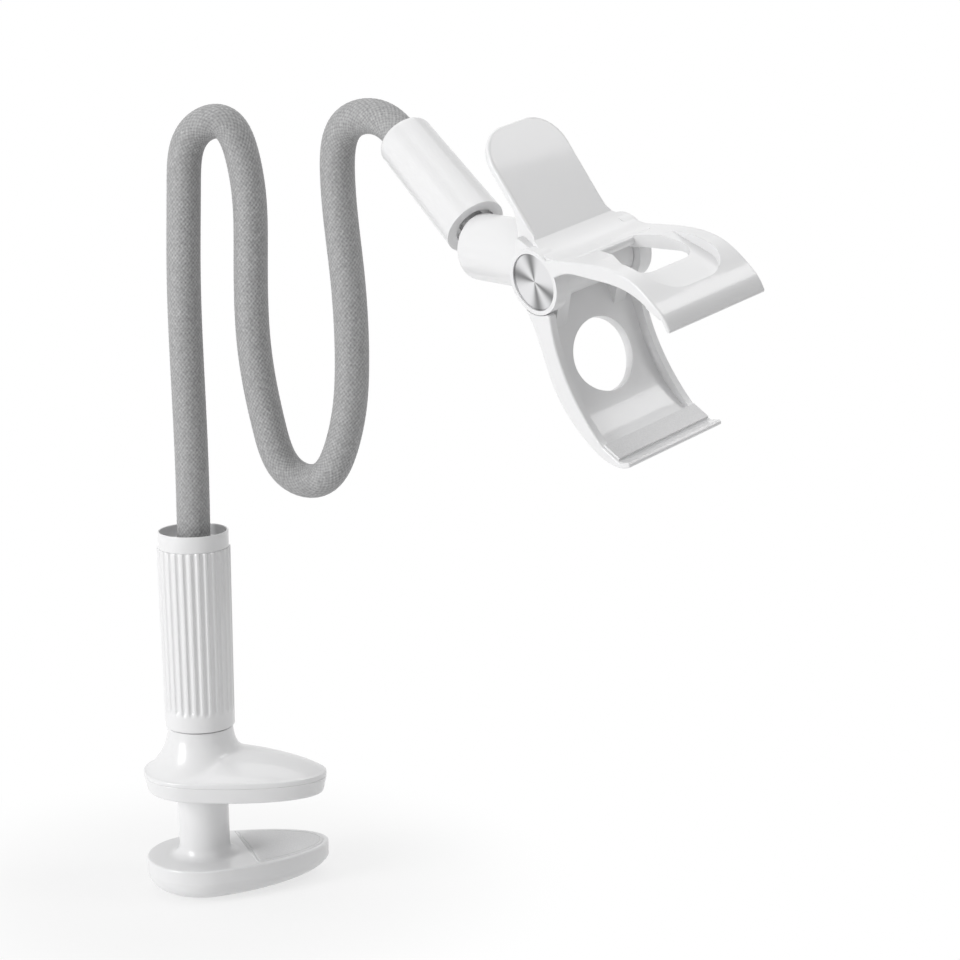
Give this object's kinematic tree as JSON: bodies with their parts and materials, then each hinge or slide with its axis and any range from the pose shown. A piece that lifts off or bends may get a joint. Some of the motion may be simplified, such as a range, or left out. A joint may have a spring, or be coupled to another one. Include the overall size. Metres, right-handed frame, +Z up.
{
  "type": "clamp-on gooseneck phone holder",
  "caption": "Desk-edge screw clamp with a fluted turning handle, a bent flexible neck, a ball joint and a spring clip for a handset",
  "frame": {"origin": "Centre of the flat gripping face on the lower clamp jaw, where the edge of a desk rests", "axes": "+Z up along the clamp's column, +X forward along the lower jaw away from the column"},
  "size_m": [0.1907, 0.2801, 0.3554],
  "materials": {
    "white_shell": "smooth satin-gloss moulded plastic",
    "white_grip": "fluted moulded plastic",
    "pale_pad": "soft matt rubber sheet",
    "neck_skin": "grey sleeve with a fine knitted grain",
    "neck_wire": "drawn bending core",
    "steel": "turned steel",
    "spun_cap": "spun disc with fine rings",
    "grey_liner": "plain moulded plastic"
  },
  "bodies": {
    "clamp_foot": {"lower_jaw": "white_shell", "lower_pad": "pale_pad", "anchor_nut": "steel", "clamp_screw": "steel", "lower_ferrule": "steel", "neck_sleeve_0": "neck_skin", "neck_core_0": "neck_wire"},
    "slide_ring": {"swivel_ring": "steel"},
    "upper_clamp": {"upper_jaw": "white_shell", "upper_jaw_base": "white_shell", "upper_pad": "pale_pad"},
    "handle": {"handle_tube": "white_shell", "grip_sleeve": "white_grip", "handle_nut": "steel"},
    "neck_1": {"neck_sleeve_1": "neck_skin", "neck_core_1": "neck_wire"},
    "neck_2": {"neck_sleeve_2": "neck_skin", "neck_core_2": "neck_wire"},
    "neck_3": {"neck_sleeve_3": "neck_skin", "neck_core_3": "neck_wire"},
    "neck_4": {"neck_sleeve_4": "neck_skin", "neck_core_4": "neck_wire"},
    "neck_5": {"neck_sleeve_5": "neck_skin", "neck_core_5": "neck_wire"},
    "neck_6": {"neck_sleeve_6": "neck_skin", "neck_core_6": "neck_wire", "collar": "white_shell", "mouth_ring": "grey_liner", "ball_stud": "steel"},
    "ball": {"ball": "grey_liner"},
    "socket": {"socket_liner": "grey_liner"},
    "clip_base": {"barrel": "white_shell", "clip_lower_jaw": "white_shell", "clip_lower_pad": "pale_pad", "torsion_spring": "steel"},
    "clip_lever": {"clip_upper_jaw": "white_shell", "clip_upper_pad": "pale_pad", "pivot_pin": "steel", "pivot_cap_near": "spun_cap", "pivot_cap_far": "spun_cap"}
  },
  "joints": [
    {"name": "jaw_slide", "type": "slide", "parent": "clamp_foot", "child": "slide_ring", "axis": [0, 0, 1], "range_m": [-0.029, 0.023]},
    {"name": "jaw_swivel", "type": "hinge", "parent": "slide_ring", "child": "upper_clamp", "pos_m": [-0.03715, 0, 0], "axis": [0, 0, 1], "continuous": true},
    {"name": "handle_turn", "type": "hinge", "parent": "slide_ring", "child": "handle", "pos_m": [-0.03715, 0, 0], "axis": [0, 0, 1], "continuous": true},
    {"name": "neck_bend_1", "type": "hinge", "parent": "clamp_foot", "child": "neck_1", "pos_m": [-0.03715, 0, 0.1956], "axis": [0.3206, 0.9472, 0], "range_deg": [-20, 20]},
    {"name": "neck_bend_2", "type": "hinge", "parent": "neck_1", "child": "neck_2", "pos_m": [-0.03715, 0, 0.2686], "axis": [0.9472, -0.3206, 0], "range_deg": [-20, 20]},
    {"name": "neck_bend_3", "type": "hinge", "parent": "neck_2", "child": "neck_3", "pos_m": [-0.01072, -0.01383, 0.30016], "axis": [0.3204, 0.947, -0.0223], "range_deg": [-20, 4]},
    {"name": "neck_bend_4", "type": "hinge", "parent": "neck_3", "child": "neck_4", "pos_m": [-0.01131, -0.01466, 0.2563], "axis": [0.9471, -0.3207, -0.0066], "range_deg": [-20, 20]},
    {"name": "neck_bend_5", "type": "hinge", "parent": "neck_4", "child": "neck_5", "pos_m": [0.0234, -0.0468, 0.2551], "axis": [0.3188, 0.9471, 0.0374], "range_deg": [-12, 20]},
    {"name": "neck_bend_6", "type": "hinge", "parent": "neck_5", "child": "neck_6", "pos_m": [0.02106, -0.04775, 0.29897], "axis": [0.9458, -0.3218, 0.0435], "range_deg": [-20, 20]},
    {"name": "ball_pan", "type": "hinge", "parent": "neck_6", "child": "ball", "pos_m": [0.05883, -0.13293, 0.28206], "axis": [0.2795, -0.7628, -0.5831], "continuous": true},
    {"name": "ball_tilt", "type": "hinge", "parent": "ball", "child": "socket", "pos_m": [0.05883, -0.13293, 0.28206], "axis": [-0.9302, -0.3656, 0.0324], "range_deg": [-33, 1]},
    {"name": "ball_spin", "type": "hinge", "parent": "socket", "child": "clip_base", "pos_m": [0.05883, -0.13293, 0.28206], "axis": [0.3646, -0.9306, -0.0339], "continuous": true},
    {"name": "clip_squeeze", "type": "hinge", "parent": "clip_base", "child": "clip_lever", "pos_m": [0.07757, -0.18076, 0.28032], "axis": [0.912, 0.3496, 0.2147], "range_deg": [-15, 45]}
  ],
  "couplings": [
    {"joint": "handle_turn", "follows": "jaw_slide", "rad_per_m": 1570.8}
  ]
}
